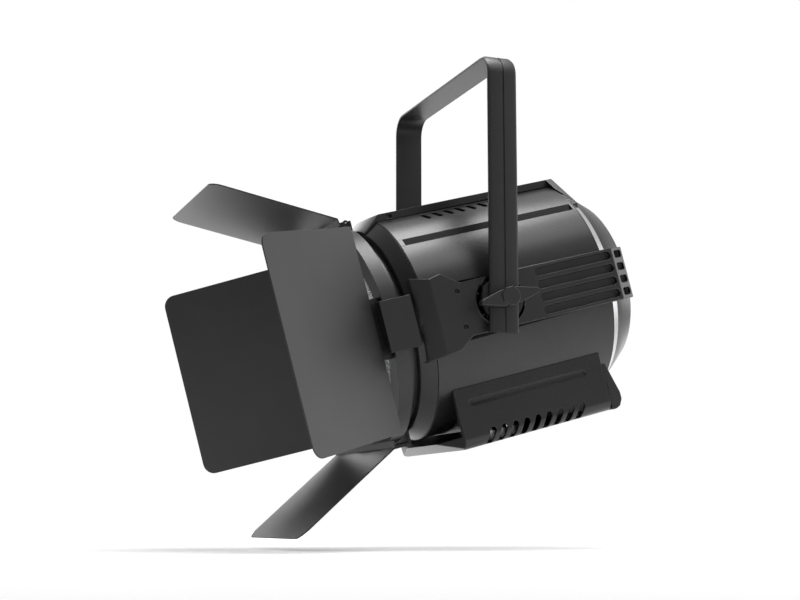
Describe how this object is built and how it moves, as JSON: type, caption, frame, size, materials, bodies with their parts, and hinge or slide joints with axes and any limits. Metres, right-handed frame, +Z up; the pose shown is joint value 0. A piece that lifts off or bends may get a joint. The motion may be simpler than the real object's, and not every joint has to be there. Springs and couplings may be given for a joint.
{
  "type": "stage light",
  "caption": "Zooming LED stage light on a U-shaped hanging yoke, with a finned black housing and folding barn-door leaves on a turning ring.",
  "frame": {"origin": "middle of the top face of the yoke's beam, where the hanging clamp goes", "axes": "+Z up; -Y is the way the lens faces, seen from above; +X is the light's right side as a viewer in front of the lens's left"},
  "size_m": [0.4521, 0.5255, 0.5411],
  "materials": {
    "yoke_steel": "satin black powder coat",
    "cast_black": "satin black paint on aluminium",
    "leaf_steel": "matt black heatproof paint",
    "black_plastic": "fine-grained black plastic",
    "black_steel": "black",
    "bright_steel": "bright",
    "bare_aluminium": "bare",
    "rubber": "matt",
    "lens_glass": "clear, stepped",
    "circuit_board": "green board",
    "led_white": "ceramic with phosphor",
    "display_dark": "dark display glass"
  },
  "bodies": {
    "yoke": {"yoke_frame": "yoke_steel"},
    "housing": {"main_shell": "cast_black", "spine_cover": "cast_black", "rear_ring": "cast_black", "front_bezel": "cast_black", "base_box": "cast_black", "base_rear_cover": "black_plastic", "side_arm_right": "black_plastic", "side_arm_left": "black_plastic", "friction_disc_right": "rubber", "friction_disc_left": "rubber", "pivot_stud_right": "bright_steel", "pivot_stud_left": "bright_steel", "accessory_clip_right": "black_plastic", "accessory_clip_bottom": "black_plastic", "accessory_clip_left": "black_plastic", "latch_bracket": "black_steel", "latch_pin": "bright_steel", "rear_panel": "black_steel", "display_window": "display_dark", "data_in_socket": "black_plastic", "data_out_socket": "black_plastic", "power_in_socket": "black_plastic", "power_out_socket": "black_plastic", "safety_loop": "bright_steel", "bulkhead_plate": "bare_aluminium", "led_board": "led_white", "reflector_cup": "bare_aluminium", "heat_sink": "bare_aluminium", "fan_frame": "black_plastic", "driver_board": "circuit_board", "control_board": "circuit_board", "zoom_motor": "black_steel", "guide_rod_right": "bright_steel", "guide_rod_left": "bright_steel"},
    "knob_right": {"wing_knob_right": "black_plastic"},
    "knob_left": {"wing_knob_left": "black_plastic"},
    "latch": {"accessory_latch": "black_steel"},
    "fan": {"fan_rotor": "black_plastic"},
    "lens": {"lens_carriage": "black_plastic", "front_lens": "lens_glass"},
    "screw": {"lead_screw": "bright_steel"},
    "barn_ring": {"barn_door_ring": "leaf_steel", "hinge_bracket_top": "leaf_steel", "hinge_pin_top": "bright_steel", "hinge_bracket_right": "leaf_steel", "hinge_pin_right": "bright_steel", "hinge_bracket_bottom": "leaf_steel", "hinge_pin_bottom": "bright_steel", "hinge_bracket_left": "leaf_steel", "hinge_pin_left": "bright_steel"},
    "leaf_top": {"leaf_top": "leaf_steel"},
    "leaf_right": {"leaf_right": "leaf_steel"},
    "leaf_bottom": {"leaf_bottom": "leaf_steel"},
    "leaf_left": {"leaf_left": "leaf_steel"},
    "button_menu": {"button_menu": "black_plastic"},
    "button_down": {"button_down": "black_plastic"},
    "button_up": {"button_up": "black_plastic"},
    "button_enter": {"button_enter": "black_plastic"}
  },
  "joints": [
    {"name": "tilt", "type": "hinge", "parent": "yoke", "child": "housing", "pos_m": [0, 0, -0.28], "axis": [1, 0, 0], "range_deg": [-45.2, 74.8]},
    {"name": "knob_right_turn", "type": "hinge", "parent": "yoke", "child": "knob_right", "pos_m": [0.15, 0, -0.28], "axis": [1, 0, 0], "range_deg": [0, 180]},
    {"name": "knob_left_turn", "type": "hinge", "parent": "yoke", "child": "knob_left", "pos_m": [-0.15, 0, -0.28], "axis": [-1, 0, 0], "range_deg": [0, 180]},
    {"name": "ring_turn", "type": "hinge", "parent": "housing", "child": "barn_ring", "pos_m": [0, -0.11846, -0.31218], "axis": [0, -0.965, -0.2622], "continuous": true},
    {"name": "latch_lift", "type": "hinge", "parent": "housing", "child": "latch", "pos_m": [0, -0.13922, -0.17949], "axis": [-1, 0, 0], "range_deg": [0, 75], "stiffness_Nm_per_rad": 0.03, "springref_deg": -20.05},
    {"name": "leaf_top_swing", "type": "hinge", "parent": "barn_ring", "child": "leaf_top", "pos_m": [0, -0.17353, -0.2058], "axis": [-1, 0, 0], "range_deg": [-78.9, 48.1]},
    {"name": "leaf_right_swing", "type": "hinge", "parent": "barn_ring", "child": "leaf_right", "pos_m": [0.1171, -0.14282, -0.3188], "axis": [0, 0.2622, -0.965], "range_deg": [-37.9, 82.1]},
    {"name": "leaf_bottom_swing", "type": "hinge", "parent": "barn_ring", "child": "leaf_bottom", "pos_m": [0, -0.11212, -0.43181], "axis": [1, 0, 0], "range_deg": [-78.9, 48.1]},
    {"name": "leaf_left_swing", "type": "hinge", "parent": "barn_ring", "child": "leaf_left", "pos_m": [-0.1171, -0.14282, -0.3188], "axis": [0, -0.2622, 0.965], "range_deg": [-40.2, 79.8]},
    {"name": "button_menu_press", "type": "slide", "parent": "housing", "child": "button_menu", "axis": [0, -0.965, -0.2622], "range_m": [0, 0.0015], "stiffness_N_per_m": 300, "springref_m": -0.001},
    {"name": "button_down_press", "type": "slide", "parent": "housing", "child": "button_down", "axis": [0, -0.965, -0.2622], "range_m": [0, 0.0015], "stiffness_N_per_m": 300, "springref_m": -0.001},
    {"name": "button_up_press", "type": "slide", "parent": "housing", "child": "button_up", "axis": [0, -0.965, -0.2622], "range_m": [0, 0.0015], "stiffness_N_per_m": 300, "springref_m": -0.001},
    {"name": "button_enter_press", "type": "slide", "parent": "housing", "child": "button_enter", "axis": [0, -0.965, -0.2622], "range_m": [0, 0.0015], "stiffness_N_per_m": 300, "springref_m": -0.001},
    {"name": "fan_spin", "type": "hinge", "parent": "housing", "child": "fan", "pos_m": [0, 0.07382, -0.25994], "axis": [0, 0.965, 0.2622], "continuous": true},
    {"name": "lens_zoom", "type": "slide", "parent": "housing", "child": "lens", "axis": [0, 0.965, 0.2622], "range_m": [0, 0.045]},
    {"name": "screw_turn", "type": "hinge", "parent": "housing", "child": "screw", "pos_m": [0, -0.01849, -0.40264], "axis": [0, 0.965, 0.2622], "range_deg": [0, 2025]}
  ],
  "couplings": [
    {"joint": "screw_turn", "follows": "lens_zoom", "rad_per_m": 785.4}
  ]
}
